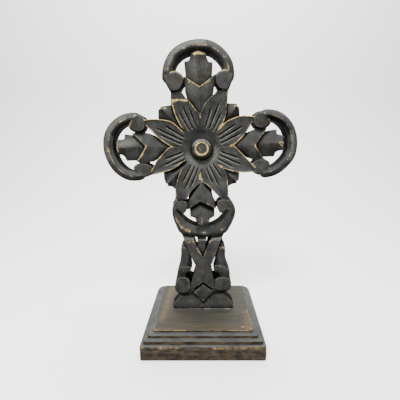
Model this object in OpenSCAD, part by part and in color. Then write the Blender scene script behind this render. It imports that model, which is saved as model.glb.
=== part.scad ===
// Carved wooden standing cross: one pierced, carved board on a square stepped base.
// The front faces -Y, up is +Z, and the origin is the middle of the base's underside.

/* [Base] */
// Side of the square base
base_w = 152; // [146:1:158]
// Radius of the base's upright corners
base_corner_r = 2.5; // [1:0.5:4]
// Height of the slab, up to the first step
slab_h = 18.4; // [17:0.2:20]
// Height of the first step above the slab
step_1_h = 5; // [4:0.2:6]
// Height of the second step
step_2_h = 3.9; // [3:0.2:5]
// Height of the top plate above the second step
plate_h = 3.1; // [2.4:0.2:4]
// How far the first step stands in from the slab
step_1_in = 3.8; // [3:0.2:5]
// How far the second step stands in from the slab
step_2_in = 8.9; // [8:0.2:10]
// How far the top plate stands in from the slab
plate_in = 14.7; // [13:0.2:16]

/* [Board] */
// Thickness of the carved board
board_t = 25; // [22:0.5:28]
// Where the flat back of the board stands behind the base's middle
back_y = 10; // [8:0.5:12]
// Thickness of the foot plate
foot_t = 20; // [18:0.5:22]
// How far the part above the waist leans to the left
lean = 1.7; // [0:0.1:2]
// Height of the waist that the upper part leans about
waist_z = 160; // [156:1:164]

/* [Flower] */
// Height of the flower's centre, measured along the leaning board
flower_z = 252; // [251:0.5:253]
// Radius out to the notch on each arm's axis
notch_r = 40; // [38:0.5:42]
// Radius out to the valley between two arms
valley_r = 33; // [31:0.5:35]
// Radius out to the petal tips
tip_r = 75; // [73:0.5:76]
// Angle of each petal's tip from its arm's axis
tip_angle = 26.5; // [25:0.5:28]
// Radius of the smooth dish inside the petals
dish_r = 27; // [25:0.5:29]
// Depth of each chisel groove
groove_d = 1.6; // [1:0.1:2]
// Radius of the knob at its foot
knob_r = 14; // [13:0.5:15]
// Radius of the knob's flat top
knob_top_r = 9.5; // [8.5:0.5:10]

/* [Arms] */
// Distance from the flower to the top ring's centre
top_reach = 86.5; // [85.5:0.5:87.5]
// Outer radius of the top ring
top_ring_r = 44; // [43:0.2:45]
// Distance from the flower to the left ring's centre
left_reach = 84.5; // [83.5:0.5:85.5]
// Distance from the flower to the right ring's centre
right_reach = 81; // [80:0.5:82]
// Outer radius of the side rings
side_ring_r = 42; // [41:0.5:43]
// Width of a ring, from its outside to its inner front edge
ring_w = 15.6; // [15:0.2:16]
// Radius of the knobs that end each ring
ring_end_r = 11; // [10:0.5:12]

/* [Stem] */
// Height of the crescent's centre
crescent_z = 177; // [176:0.5:178]
// Outer radius of the crescent
crescent_r = 41; // [40:0.5:42]
// Half width of the trunk at its narrowest
trunk_half = 10; // [9:0.5:11]
// Height of the diamond's middle
diamond_z = 57.5; // [57:0.5:58]

/* [Hidden] */

base_top = slab_h + step_1_h + step_2_h + plate_h;
corner_fn = 32;
arc_fn = 48;

// Depths are measured forward from the flat back of the board.
front_d = board_t;
dish_d = 13;
petal_root_d = 16;
petal_tip_d = 24;
rim_d = 1;
ring_ridge_in = 7.6;
join = 4;
rib_d = 22;
leaf_edge_d = 16;
sepal_d = 17;

petals = 8;
columns = 16;
flower_columns = petals * columns;

paint = [0.25, 0.25, 0.24];
worn_wood = [0.36, 0.33, 0.29];

// Stands a drawing made in the board's plane, with depth towards +Z, upright facing -Y.
module stand_up() {
    translate([0, back_y, 0]) rotate([90, 0, 0]) children();
}

// Tilts what is above the waist to the left.
module leaning() {
    translate([0.8, waist_z, 0]) rotate([0, 0, lean]) translate([0, -waist_z, 0]) children();
}

// A block cut through the board, whose front falls from a ridge to the level of its outline.
// Each ridge point is [across, up, depth].
module ridged(outline, ridge, edge_d) {
    hull() {
        linear_extrude(edge_d) polygon(outline);
        for (p = ridge) {
            translate([p[0], p[1], 0]) cylinder(h = p[2], d = 0.8, $fn = 4);
        }
    }
}

// A block cut straight through the board, with a flat front.
module flat_block(outline, depth) {
    linear_extrude(depth) polygon(outline);
}

// A band bent round a circle, with a long bevel outside and a shallow one inside its ridge.
module ring_band(outer_r, width, from, to) {
    ridge_r = outer_r - ring_ridge_in;
    rotate([0, 0, from]) rotate_extrude(angle = to - from, $fn = arc_fn)
        polygon([
            [outer_r - width, 0], [outer_r, 0], [outer_r, front_d - 7], [outer_r - 1, front_d - 4],
            [ridge_r, front_d], [outer_r - width, front_d - 3.3]
        ]);
}

// The rounded knob that ends a ring.
module ring_end() {
    rotate_extrude($fn = 20)
        polygon([[0, 0], [ring_end_r, 0], [ring_end_r, front_d - 5], [ring_end_r - 3.5, front_d - 1], [0, front_d]]);
}

// One arm, drawn pointing up from the flower's centre: ring, knobs, outer leaf and inner leaf.
// The outer leaf's tip laps over the ring, and the inner leaf's root runs into the flower.
module arm(reach, ring_r, side) {
    tip = ring_r - ring_w + join / 2;
    root = notch_r - join - reach;
    translate([side, reach, 0]) {
        ring_band(ring_r, ring_w, -28, 208);
        for (s = [-1, 1]) {
            translate([s * (ring_r - 13.5), -7, 0]) ring_end();
        }
        // Outer leaf: a square-ended tip over the ring, and shoulders.
        ridged([[-9, 10], [-9, tip], [9, tip], [9, 10]], [[0, tip, rib_d + 1], [0, 10, rib_d - 1]], rib_d - 3);
        ridged([[-15, -15], [-17, 15], [17, 15], [15, -15]], [[0, 15, rib_d - 1], [0, -15, 17]], leaf_edge_d - 2);
        // Inner leaf: two lobes that part in a V, over a stem that runs into the flower.
        for (s = [-1, 1]) {
            ridged([[0, -13], [s * 18, 1], [s * 18.5, -8], [s * 16, -24], [s * 3, root], [0, root]],
                [[0, -13, rib_d], [s * 17, -1, rib_d - 1], [0, root, petal_root_d]], leaf_edge_d);
        }
    }
}

// How far out the flower reaches at an angle measured from a petal's tip line, by its own
// nearest axis: straight in to the notch on the axis side, rounded in to the valley side.
function petal_reach(off_axis) =
    off_axis <= tip_angle
        ? notch_r + (tip_r - notch_r) * pow(off_axis / tip_angle, 1.2)
        : valley_r + (tip_r - valley_r) * (1 - pow((off_axis - tip_angle) / (45 - tip_angle), 1.7));

// The angle of one column of the flower, from the nearest arm's axis.
function off_axis(i) = abs((i * 360 / flower_columns + 45) % 90 - 45);

function flower_reach(i) = petal_reach(off_axis(i));

// Depth of the petals' front before any groove, rising outwards.
function petal_level(r) =
    petal_root_d + (petal_tip_d - petal_root_d) * pow(max(0, r - dish_r) / (tip_r - dish_r), 0.8);

// Three grooves cross each petal between its edges.
function groove(i, u) = i % 4 == 2 && u > 0.02 && u < 0.7 ? groove_d : 0;

// Rows of the flower's front from the middle out: [share of the way from dish to rim, raised].
rows = [[0, 0], [0.18, 0], [0.5, 0], [0.68, 0], [0.88, 0], [0.97, rim_d], [1, 0.4]];

function row_point(i, row) =
    let (
        angle = i * 360 / flower_columns,
        r = dish_r + (flower_reach(i) - dish_r) * row[0],
        d = petal_level(r) + row[1] - groove(i, row[0])
    ) [r * cos(angle), r * sin(angle), d];

// The eight petals with their rims and chisel grooves, and the dish inside them.
module flower() {
    middle_d = 12;
    n = flower_columns;
    inner = [for (i = [0 : n - 1]) let (a = i * 360 / n) [17 * cos(a), 17 * sin(a), dish_d]];
    front = [for (row = rows) for (i = [0 : n - 1]) row_point(i, row)];
    back = [for (i = [0 : n - 1]) let (p = row_point(i, rows[len(rows) - 1])) [p[0], p[1], 0]];
    points = concat(inner, front, back, [[0, 0, middle_d], [0, 0, 0]]);
    bands = len(rows) + 1;
    top = len(points) - 2;
    bottom = len(points) - 1;
    faces = concat(
        [for (k = [0 : bands - 1]) for (i = [0 : n - 1])
            let (j = (i + 1) % n) [k * n + j, k * n + i, (k + 1) * n + i]],
        [for (k = [0 : bands - 1]) for (i = [0 : n - 1])
            let (j = (i + 1) % n) [k * n + j, (k + 1) * n + i, (k + 1) * n + j]],
        [for (i = [0 : n - 1]) [top, i, (i + 1) % n]],
        [for (i = [0 : n - 1]) [bottom, bands * n + (i + 1) % n, bands * n + i]]
    );
    polyhedron(points = points, faces = [for (f = faces) [f[2], f[1], f[0]]]);
    // The knob in the middle, with a worn flat top and a small sunk disc.
    rotate_extrude($fn = 36)
        polygon([
            [0, 0], [knob_r, 0], [knob_r, dish_d + 1], [knob_r - 0.6, 19], [knob_r - 2, 23],
            [knob_top_r, front_d], [6.3, front_d], [5.6, front_d - 0.8], [0, front_d - 0.6]
        ]);
}

// The folded sepal that fills one corner between two arms, drawn for the upper right corner.
module sepal() {
    ridged([[25, 22], [25, 45], [33, 52], [47, 49], [48.5, 38], [40, 25]],
        [[46.5, 48, sepal_d], [25, 25, 14]], 11);
}

// The short neck between the flower and the top ring's knobs.
module top_neck() {
    for (s = [-1, 1]) {
        ridged([[s * 12, 55], [s * 34.5, 50], [s * 35, 72], [s * 22, 67]],
            [[s * 33, 69, 21], [s * 15, 56, 17]], 15);
    }
}

// The leaf that hangs from the flower into the crescent, drawn upright at the waist.
module hanging_leaf() {
    // Inner leaf, in two lobes.
    for (s = [-1, 1]) {
        ridged([[-2, 210], [-2, 183], [-2 + s * 17, 174], [-2 + s * 17.5, 184], [-2 + s * 11, 198]],
            [[-2, 183, rib_d], [-2 + s * 16, 175.5, rib_d - 1], [-2, 209, 20]], leaf_edge_d);
    }
    // Outer leaf, with shoulders and a square tip.
    ridged([[-17, 164], [-17, 186], [13, 186], [15, 164]], [[-2, 186, 17], [-2, 164, rib_d - 1]], leaf_edge_d - 2);
    ridged([[-9, 150], [-9, 166], [7.5, 166], [7.5, 150]], [[-1, 150, rib_d], [-1, 166, rib_d - 1]], rib_d - 3);
}

// The crescent that opens upwards round the hanging leaf, and its two knobs.
module crescent() {
    translate([0, crescent_z, 0]) {
        ring_band(crescent_r, ring_w, 165, 375);
        for (s = [-1, 1]) {
            translate([s * 28.5, -1, 0]) ring_end();
        }
    }
    // Side webs that carry the crescent up to the flower.
    for (s = [-1, 1]) {
        ridged([[s * 19, 184], [s * 35.5, 184], [s * 33, 204], [s * 32, 212], [s * 10, 206]],
            [[s * 30, 206, 21], [s * 27, 186, 20]], 17);
    }
}

// The two ribbons that cross under the crescent in a V, and the small tongue between them.
module ribbons() {
    for (s = [-1, 1]) {
        ridged([[0, 106], [s * 10, 128], [s * 13, 141], [s * 27, 148], [s * 24, 128], [s * 15, 105], [s * 8, 98]],
            [[s * 3, 108, 21], [s * 11, 129, 22], [s * 22, 131, 22.5]], 18);
    }
    ridged([[-1, 108], [-6.5, 131], [-6, 140], [4, 140], [5, 131]], [[-1, 131, 19], [-1, 110, 18]], 15);
}

// The plain trunk, which spreads at its foot into two toes over the diamond.
module trunk() {
    ridged([[-12, 112], [-trunk_half, 99], [trunk_half, 99], [12, 112]], [[0, 110, 22], [0, 99, 22]], 19);
    ridged([[-trunk_half, 100], [-11.5, 84], [11.5, 84], [trunk_half, 100]], [[0, 100, 22], [0, 84, 22]], 19);
    for (s = [-1, 1]) {
        ridged([[0, 86], [s * 11.5, 86], [s * 15, 76], [s * 19, 62], [s * 10, 60], [0, 71]],
            [[0, 84, 22], [s * 12, 66, 21]], 18);
    }
}

// The bud and leaf on each side of the trunk, ending below in a round scroll.
module side_leaf() {
    ridged([[30, 108], [19, 112], [16, 103], [18, 92], [33, 88]], [[24, 108, 21], [26, 92, 21]], 17);
    ridged([[18, 110], [22, 129], [27, 129], [29.5, 122], [29.5, 106]], [[26, 121, 21], [25, 110, 21]], 17);
    ridged([[16, 92], [19, 96], [33, 92], [35.5, 80], [24, 80]], [[28, 92, 21], [31, 82, 20]], 16);
    // The scroll's ball.
    translate([26.5, 69, 0]) rotate_extrude($fn = 24)
        polygon([[0, 0], [11.5, 0], [12, 12], [11, 18], [8, 21.5], [0, 23]]);
    flat_block([[16, 82], [36, 82], [38, 68], [36, 58], [16, 58]], 14);
}

// The diamond between the two scrolls.
module diamond() {
    ridged([[0, diamond_z + 12], [-13, diamond_z], [0, diamond_z - 12.5], [13, diamond_z]],
        [[0, diamond_z + 11, 20], [0, diamond_z - 11, 23.5]], 19);
}

// The plain plate that the carving stands on, which widens to the base.
module foot() {
    flat_block([
        [-41, base_top], [-40.5, 37], [-38.5, 43.5], [-34, 48], [-30, 60],
        [30, 60], [32.5, 50], [38, 45], [41.5, 37], [42.5, base_top]
    ], foot_t);
}

// The whole carved board, foot plate included.
module cross() {
    color(paint) stand_up() {
        leaning() {
            translate([0, flower_z, 0]) {
                flower();
                arm(top_reach, top_ring_r, -1);
                rotate([0, 0, 90]) arm(left_reach, side_ring_r, 3);
                mirror([1, 0, 0]) rotate([0, 0, 90]) arm(right_reach, side_ring_r, 2.5);
                for (m = [0, 1]) for (n = [0, 1]) {
                    mirror([m, 0, 0]) mirror([0, n, 0]) sepal();
                }
                top_neck();
            }
            flat_block([[-34, flower_z - 45], [34, flower_z - 45], [30, flower_z - 60], [-32, flower_z - 60]], 6);
        }
        hanging_leaf();
        crescent();
        ribbons();
        trunk();
        for (m = [0, 1]) {
            mirror([m, 0, 0]) side_leaf();
        }
        diamond();
        foot();
    }
}

// A square plate with rounded upright corners.
module plate(inset, z, h) {
    half = base_w / 2 - inset;
    flat = half - base_corner_r;
    translate([0, 0, z]) linear_extrude(h) union() {
        square([2 * half, 2 * flat], center = true);
        square([2 * flat, 2 * half], center = true);
        for (x = [-flat, flat]) for (y = [-flat, flat]) {
            translate([x, y]) circle(r = base_corner_r, $fn = corner_fn);
        }
    }
}

// The base: a slab, two steps and a top plate, cut from one block.
module base() {
    color(worn_wood) {
        plate(0, 0, slab_h);
        plate(step_1_in, slab_h - 1, step_1_h + 1);
        plate(step_2_in, slab_h, step_1_h + step_2_h);
        plate(plate_in, slab_h, base_top - slab_h);
    }
}

cross();
base();
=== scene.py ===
import math

import bpy
import numpy as np
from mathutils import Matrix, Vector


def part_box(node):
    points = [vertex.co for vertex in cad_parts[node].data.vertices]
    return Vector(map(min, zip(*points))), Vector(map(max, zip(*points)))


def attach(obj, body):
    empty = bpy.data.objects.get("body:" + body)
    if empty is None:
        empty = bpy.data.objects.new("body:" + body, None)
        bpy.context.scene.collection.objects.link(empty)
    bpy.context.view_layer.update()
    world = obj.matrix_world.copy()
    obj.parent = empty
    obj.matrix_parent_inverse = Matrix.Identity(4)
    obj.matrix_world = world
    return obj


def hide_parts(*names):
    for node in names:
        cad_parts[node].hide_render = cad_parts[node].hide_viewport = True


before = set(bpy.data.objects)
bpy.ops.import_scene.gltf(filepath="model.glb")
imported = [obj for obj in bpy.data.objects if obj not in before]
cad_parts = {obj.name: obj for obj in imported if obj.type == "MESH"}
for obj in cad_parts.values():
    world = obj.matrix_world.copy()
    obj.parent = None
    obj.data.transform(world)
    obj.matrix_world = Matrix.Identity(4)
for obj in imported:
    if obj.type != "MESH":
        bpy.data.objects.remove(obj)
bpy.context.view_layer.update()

# ---- Room -------------------------------------------------------------------------------
# A pale sweep of studio paper: it lies flat under the base and curls up behind it in one
# long bend, so no horizon shows.

PAPER_WIDTH = 4.0
PAPER_FRONT = -1.6
PAPER_BACK = 0.9
PAPER_BEND = 0.5
PAPER_RISE = 1.6
BEND_STEPS = 12


def linear(hex_colour):
    """An sRGB hex colour as linear RGBA."""
    parts = [int(hex_colour[i:i + 2], 16) / 255 for i in (1, 3, 5)]
    return [p / 12.92 if p <= 0.04045 else ((p + 0.055) / 1.055) ** 2.4 for p in parts] + [1.0]


def put(material, kind, settings=(), **links):
    """Adds one node to a material, with its settings and with links or values on its inputs."""
    node = material.node_tree.nodes.new(kind)
    for name, value in dict(settings).items():
        setattr(node, name, value)
    for name, source in links.items():
        socket = node.inputs[int(name[1:])] if name[1:].isdigit() else node.inputs[name.replace("_", " ")]
        if isinstance(source, bpy.types.NodeSocket):
            material.node_tree.links.new(source, socket)
        else:
            socket.default_value = source
    return node


def new_material(name):
    """An empty node material and its Principled shader."""
    material = bpy.data.materials.new(name)
    material.use_nodes = True
    return material, material.node_tree.nodes["Principled BSDF"]


bpy.ops.object.select_all(action="DESELECT")
bpy.ops.mesh.primitive_plane_add(size=1)
paper = bpy.context.object
paper.name = "studio_paper"
paper_line = [(PAPER_FRONT, 0.0), (PAPER_BACK - PAPER_BEND, 0.0)]
for step in range(1, BEND_STEPS + 1):
    turn = math.pi / 2 * step / BEND_STEPS
    paper_line.append((PAPER_BACK - PAPER_BEND + PAPER_BEND * math.sin(turn),
                       PAPER_BEND - PAPER_BEND * math.cos(turn)))
paper_line.append((PAPER_BACK, PAPER_RISE))
for corner in paper.data.vertices:
    edge_y = paper_line[0][0] if corner.co.y < 0 else paper_line[1][0]
    corner.co = (math.copysign(PAPER_WIDTH / 2, corner.co.x), edge_y, 0.0)
for a, b in zip(paper_line[1:], paper_line[2:]):
    far = max(v.co.y + v.co.z for v in paper.data.vertices) - 1e-6
    for vertex in paper.data.vertices:
        vertex.select = vertex.co.y + vertex.co.z > far
    for edge in paper.data.edges:
        edge.select = all(paper.data.vertices[i].select for i in edge.vertices)
    for face in paper.data.polygons:
        face.select = False
    bpy.ops.object.mode_set(mode="EDIT")
    bpy.ops.mesh.select_mode(type="EDGE")
    bpy.ops.mesh.extrude_region_move(TRANSFORM_OT_translate={"value": (0, b[0] - a[0], b[1] - a[1])})
    bpy.ops.object.mode_set(mode="OBJECT")
bpy.ops.object.shade_smooth()

paper_stock, paper_shader = new_material("matt_studio_paper")
paper_shader.inputs["Base Color"].default_value = linear("#e6e6e4")
paper_shader.inputs["Roughness"].default_value = 0.9
paper_shader.inputs["Specular IOR Level"].default_value = 0.1
paper.data.materials.append(paper_stock)


def soft_box(name, place, aim, size, watts):
    """A square area light at a place, turned to face a point."""
    light = bpy.data.lights.new(name, "AREA")
    light.shape = "SQUARE"
    light.size = size
    light.energy = watts
    lamp = bpy.data.objects.new(name, light)
    bpy.context.collection.objects.link(lamp)
    lamp.location = place
    toward = (aim[0] - place[0], aim[1] - place[1], aim[2] - place[2])
    flat = math.hypot(toward[0], toward[1])
    lamp.rotation_euler = (math.atan2(flat, -toward[2]), 0, math.atan2(-toward[0], toward[1]))
    return lamp


soft_box("top_box", (-0.14, -0.66, 1.02), (0, 0, 0.22), 0.34, 32)
soft_box("front_box", (-0.25, -1.1, 0.75), (0, 0, 0.2), 0.5, 6.5)
soft_box("paper_box", (0, 0.35, 1.9), (0, 0.95, 0.3), 1.4, 110)

sky = bpy.data.worlds.new("white_room")
sky.use_nodes = True
sky.node_tree.nodes["Background"].inputs["Color"].default_value = linear("#ffffff")
sky.node_tree.nodes["Background"].inputs["Strength"].default_value = 0.06
bpy.context.scene.world = sky

lens = bpy.data.cameras.new("camera")
lens.lens = 26.67
lens.sensor_width = 36
lens.shift_x = -0.012
camera = bpy.data.objects.new("camera", lens)
bpy.context.collection.objects.link(camera)
camera.location = (0.0021, -0.3932, 0.2495)
camera.rotation_euler = (math.radians(80.32), 0, 0)
bpy.context.scene.camera = camera

# ---- Rings ------------------------------------------------------------------------------
# Each of the three upper arms ends in a horseshoe ring of the same 25 mm board. The carver
# left a sharp ridge on its front, with a long bevel outside it and a shallow one inside.
# From the crescent up, the carving leans a little to the left.

board_low, board_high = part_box("cross")
BACK = board_high[1]
FRONT_DEPTH = (board_high[1] - board_low[1]) * 1000
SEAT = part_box("base")[1][2]
LEAN = math.radians(1.7)
LEAN_ACROSS = 0.8
LEAN_UP = 160.0

SIGHT_ACROSS = camera.location[0] * 1000
SIGHT_UP = camera.location[2] * 1000
SIGHT_DISTANCE = (board_low[1] - camera.location[1]) * 1000

leaning = True
carving = []
rubbed = []
# lines of painted highlight
painted_highlights = []
# lines of painted shadow
sunk = []


def stand(points):
    """Board places in mm, as across, up and depth from the flat back, stood up in metres. The carving
    is laid out full size on the board's front, so what is cut deeper is set out along the line of sight."""
    p = np.asarray(points, float)
    across, up, depth = p[..., 0], p[..., 1], p[..., 2]
    if leaning:
        rise = up - LEAN_UP
        up = LEAN_UP + across * math.sin(LEAN) + rise * math.cos(LEAN)
        across = LEAN_ACROSS + across * math.cos(LEAN) - rise * math.sin(LEAN)
    spread = 1 + (FRONT_DEPTH - depth) / SIGHT_DISTANCE
    across = SIGHT_ACROSS + (across - SIGHT_ACROSS) * spread
    up = SIGHT_UP + (up - SIGHT_UP) * spread
    return np.stack([across / 1000, BACK - depth / 1000, up / 1000], -1)


def smooth(points, steps):
    """An even curve through a few points, with so many steps between each two."""
    p = np.asarray(points, float)
    padded = np.vstack([2 * p[0] - p[1], p, 2 * p[-1] - p[-2]])
    out = []
    for i in range(len(p) - 1):
        a, b, c, d = padded[i:i + 4]
        for t in np.arange(steps) / steps:
            out.append(0.5 * (2 * b + (c - a) * t + (2 * a - 5 * b + 4 * c - d) * t ** 2
                              + (3 * b - a - 3 * c + d) * t ** 3))
    return np.array(out + [p[-1]])


def straight(points, steps):
    """Straight lines through a few points, with so many steps between each two."""
    p = np.asarray(points, float)
    out = [p[i] + (p[i + 1] - p[i]) * t for i in range(len(p) - 1) for t in np.arange(steps) / steps]
    return np.array(out + [p[-1]])


def slab(rails):
    """Carves one block: its front is a grid along the rails, and its walls run back to the board's back."""
    grid = stand(rails)
    bpy.ops.object.select_all(action="DESELECT")
    bpy.ops.mesh.primitive_grid_add(x_subdivisions=grid.shape[1] - 1, y_subdivisions=grid.shape[0] - 1,
                                    size=1)
    block = bpy.context.object
    block.data.vertices.foreach_set("co", grid.reshape(-1))
    bpy.ops.object.mode_set(mode="EDIT")
    bpy.ops.mesh.select_all(action="SELECT")
    bpy.ops.mesh.extrude_region_move()
    bpy.ops.transform.resize(value=(1, 0, 1), center_override=(0, BACK, 0))
    bpy.ops.mesh.select_all(action="SELECT")
    bpy.ops.mesh.normals_make_consistent(inside=False)
    bpy.ops.object.mode_set(mode="OBJECT")
    carving.append(block)


def rub(points, wide, much):
    """Notes an edge where the paint is rubbed through: how wide, and how thoroughly from 0 to 1."""
    rubbed.append((stand(points), wide / 1000, much))


def paint_highlight(points, wide, much):
    """Notes a line of painted highlight, paler grey where a cut facet or edge is lit: how wide, and how pale
    from 0 to 1.
    """
    painted_highlights.append((stand(points), wide / 1000, much))


def paint_shadow(points, wide, much):
    """Notes a line of painted shadow, black in a deep corner or under an overhang: how wide, and how black
    from 0 to 1.
    """
    sunk.append((stand(points), wide / 1000, much))


def arc(middle, radius, first, last, depth, steps):
    """Points round part of a circle on the board, in degrees from the right, at one depth."""
    turns = np.radians(np.linspace(first, last, steps))
    return np.stack([middle[0] + radius * np.cos(turns), middle[1] + radius * np.sin(turns),
                     np.full(steps, float(depth))], -1)


RING_STEPS = 12
RING_PROFILE = [(0, 17), (0.3, 19), (2.4, 22), (6.2, FRONT_DEPTH), (8.6, 24.2), (12.4, 21.2), (13, 20)]


def ring(middle, radii, first, last):
    """A horseshoe ring, drawn round its middle from one knob to the other. It was cut by eye and is a
    little out of round, so the radii are those at even turns along it."""
    radius = smooth(np.column_stack([np.zeros(len(radii)), radii]), RING_STEPS)[:, 1]
    rails = [arc(middle, radius - inward, first, last, depth, len(radius)) for inward, depth in RING_PROFILE]
    slab(rails)
    ridge = rails[3]
    rub(ridge[8:-8], 1.2, 0.36)


TOP_RING = (-1.4, 336.8)
LEFT_RING = (-82.6, 255.6)
RIGHT_RING = (79.0, 254.0)
ring(TOP_RING, [43.4, 44.4, 43.7, 43.2, 42.0, 42.4, 43.6, 43.8, 43.9], -4, 183)
# After each ring: painted shadow on its inside and painted highlight on the bevel the light falls on.
paint_shadow(arc(TOP_RING, 32.0, 22, 160, 21.5, 24), 2.0, 0.4)
paint_highlight(arc(TOP_RING, 39.5, 80, 165, 23.0, 18), 3.6, 0.4)
ring(LEFT_RING, [41.2, 41.7, 41.7, 41.7, 40.9, 41.2, 42.7, 44.0, 42.7], 84, 277)
paint_shadow(arc(LEFT_RING, 31.4, 95, 150, 21.5, 14), 3.0, 0.8)
paint_highlight(arc(LEFT_RING, 37.6, 110, 200, 23.0, 18), 3.6, 0.3)
ring(RIGHT_RING, [42.5, 42.0, 41.3, 41.9, 41.3, 41.8, 42.8, 43.0, 41.8], -92, 92)
paint_shadow(arc(RIGHT_RING, 33.6, 22, 84, 22.5, 16), 4.2, 1.0)
paint_shadow(arc(RIGHT_RING, 30.0, -75, -30, 21.5, 12), 1.8, 0.6)
paint_highlight(arc(RIGHT_RING, 37.2, -30, 22, 24.2, 14), 3.6, 0.5)

# ---- Ring ends --------------------------------------------------------------------------
# Every ring ends in two rounded knobs, cut from the same board and standing to its full
# thickness. Their edges toward the ring are the most worn.


def closed(points, steps):
    """A closed even curve through a few points."""
    p = np.asarray(points, float)
    n = len(p)
    out = []
    for i in range(n):
        a, b, c, d = p[i - 1], p[i], p[(i + 1) % n], p[(i + 2) % n]
        for t in np.arange(steps) / steps:
            out.append(0.5 * (2 * b + (c - a) * t + (2 * a - 5 * b + 4 * c - d) * t ** 2
                              + (3 * b - a - 3 * c + d) * t ** 3))
    return np.array(out)


SWELL = [(1.0, 0.0), (0.97, 0.3), (0.86, 0.9), (0.79, 1.0), (0.4, 1.0), (0.02, 1.0)]


def pad(outline, shoulder, crown):
    """Carves one block with a closed outline, whose front swells from the shoulder to the crown. Each step
    of the swell is a share of the size of the outline, and a share of the way up."""
    edge = closed(outline, 4)
    middle = edge.mean(axis=0)
    rails = []
    for share, lift in SWELL:
        depth = shoulder + (crown - shoulder) * lift
        line = middle + (edge - middle) * share
        line = np.vstack([line, line[:1]])
        rails.append(np.column_stack([line, np.full(len(line), depth)]))
    slab(rails)


def line_at(points, depth):
    """Flat places given one depth."""
    return [(p[0], p[1], depth) for p in points]


pad([(-43.6, 338), (-38, 341.5), (-30, 344), (-23, 341), (-18.5, 334), (-21, 326), (-26, 320.5), (-35, 320),
     (-41, 329)],
    20, FRONT_DEPTH)
rub(line_at([(-37, 341), (-30, 343), (-23, 340), (-19.5, 335)], 22.5), 2.0, 0.75)
pad([(41.2, 337), (37, 341.5), (30, 344), (23, 341), (18.5, 335), (20, 326), (25, 320.5), (34, 320),
     (39.5, 330)],
    20, FRONT_DEPTH)
rub(line_at([(22, 340), (29, 343), (36, 341)], 22.5), 1.8, 0.7)

pad([(-80, 295), (-85.5, 288), (-90, 280), (-85, 274), (-77, 272.5), (-70.5, 276), (-68.5, 283), (-69, 290),
     (-74, 294)],
    20, FRONT_DEPTH)
rub(line_at([(-80.8, 293), (-85.3, 287), (-89, 280.5)], 22.5), 2.2, 1.0)
pad([(-87.5, 228.5), (-82, 234), (-72, 234.5), (-63, 230), (-65, 220), (-74, 216.5), (-80.5, 218.5)],
    20, FRONT_DEPTH - 1)
rub(line_at([(-86.5, 228), (-84, 223), (-80, 219.5)], 21.5), 1.6, 0.55)

pad([(78.5, 293), (83, 287), (87, 280.5), (82.5, 274.5), (75, 272), (67, 275.5), (64, 283), (66, 291),
     (72, 294)],
    20, FRONT_DEPTH)
rub(line_at([(79, 291), (82.5, 286.5), (86, 281)], 22.5), 2.0, 0.85)
pad([(86, 229), (80, 235), (71, 235.5), (63, 231), (64.5, 220), (73, 215), (79.5, 217.5)],
    20, FRONT_DEPTH - 1)
rub(line_at([(80, 219), (83, 224), (85, 229)], 21.5), 1.6, 0.6)

# ---- Arm leaves -------------------------------------------------------------------------
# Inside each ring a two-stage leaf grows out of the flower: an outer leaf with square
# shoulders whose tip laps over the ring, and on it an inner leaf that forks in a V. Both
# have a crease of two flat knife-cut planes along the middle.


LEAF_STEPS = 5
LOBE_RISE = 0.8
LOBE_FALL = 3
ROOT_FALL = 2


def leaf(left, rib, right, edge_depths, rib_depths, bow=0.0, style=smooth):
    """A leaf between two edges and a midrib. Bow lifts the middle of each half, in mm."""
    l = np.column_stack([left, edge_depths])
    m = np.column_stack([rib, rib_depths])
    r = np.column_stack([right, edge_depths])
    l, m, r = (style(line, LEAF_STEPS) for line in (l, m, r))
    rails = []
    for a, b in ((l, m), (m, r)):
        for share in (0, 0.25, 0.5, 0.75, 1):
            if rails and share == 0:
                continue
            row = a + (b - a) * share
            row[:, 2] += bow * 4 * share * (1 - share)
            rails.append(row)
    slab(rails)


def forked(left, rib, right, root_depth, lobe_depth, bow, sag):
    """A leaf whose end is cut to a V: each half runs on past the midrib to its own lobe."""
    rise = np.linspace(0, 1, len(left)) ** LOBE_RISE
    edge_depth = root_depth - ROOT_FALL + (lobe_depth - root_depth - LOBE_FALL) * rise
    l = smooth(np.column_stack([left, edge_depth]), LEAF_STEPS)
    m = smooth(np.column_stack([rib, root_depth + (lobe_depth - root_depth) * rise]), LEAF_STEPS)
    r = smooth(np.column_stack([right, edge_depth]), LEAF_STEPS)
    along = np.linspace(0, 1, len(l))[:, None]
    rails = []
    for a, b, side in ((l, m, 0), (m, r, 1)):
        for share in np.linspace(0, 1, 9):
            if side and share == 0:
                continue
            row = a + (b - a) * share
            hang = 4 * share * (1 - share)
            row[:, 2] += bow * hang
            toward_root = (m[0] - m[-1])[:2] / np.linalg.norm((m[0] - m[-1])[:2])
            row[:, :2] += toward_root * sag * hang * along ** 2
            rails.append(row)
    slab(rails)
    ends = np.array([row[-1] for row in rails])
    return ends


# Top arm
leaf([(-15, 318), (-18, 354), (-12.5, 355), (-10.8, 358), (-9.2, 361.5), (-9, 365.3)],
     [(-1.5, 318), (-1.5, 353), (-1.5, 355.5), (-1.2, 358.5), (-1, 361.8), (-1, 365.3)],
     [(14, 318), (16.5, 352.5), (11.5, 353), (9.8, 357), (8.6, 361.5), (8, 365.3)],
     [13, 15, 16.5, 18, 19.5, 17.5], [17.5, 21.8, 22.4, 23.2, 24, 21], 0.2, style=straight)
rub(line_at([(-8.6, 363), (0, 363.5), (7.6, 363)], 22), 2.6, 1.0)
rub(line_at([(9.8, 362), (10, 356)], 20.5), 1.2, 0.6)
tips = forked([(-5, 296), (-12, 306), (-17.5, 316), (-18.3, 328), (-18.5, 338)],
              [(-0.5, 292), (-0.5, 300), (-0.5, 308), (-0.2, 317), (0, 325.5)],
              [(5, 296), (11, 306), (16, 316), (18, 328), (19, 339)], 16.5, 24, 0.5, 0.4)
rub(tips, 1.3, 0.55)

# Painted highlight on the lit halves of the top leaf.
paint_highlight(line_at([(-8, 322), (-8, 352)], 21), 8.0, 0.18)
paint_highlight(line_at([(8, 322), (8, 350)], 21), 7.0, 0.14)

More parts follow.
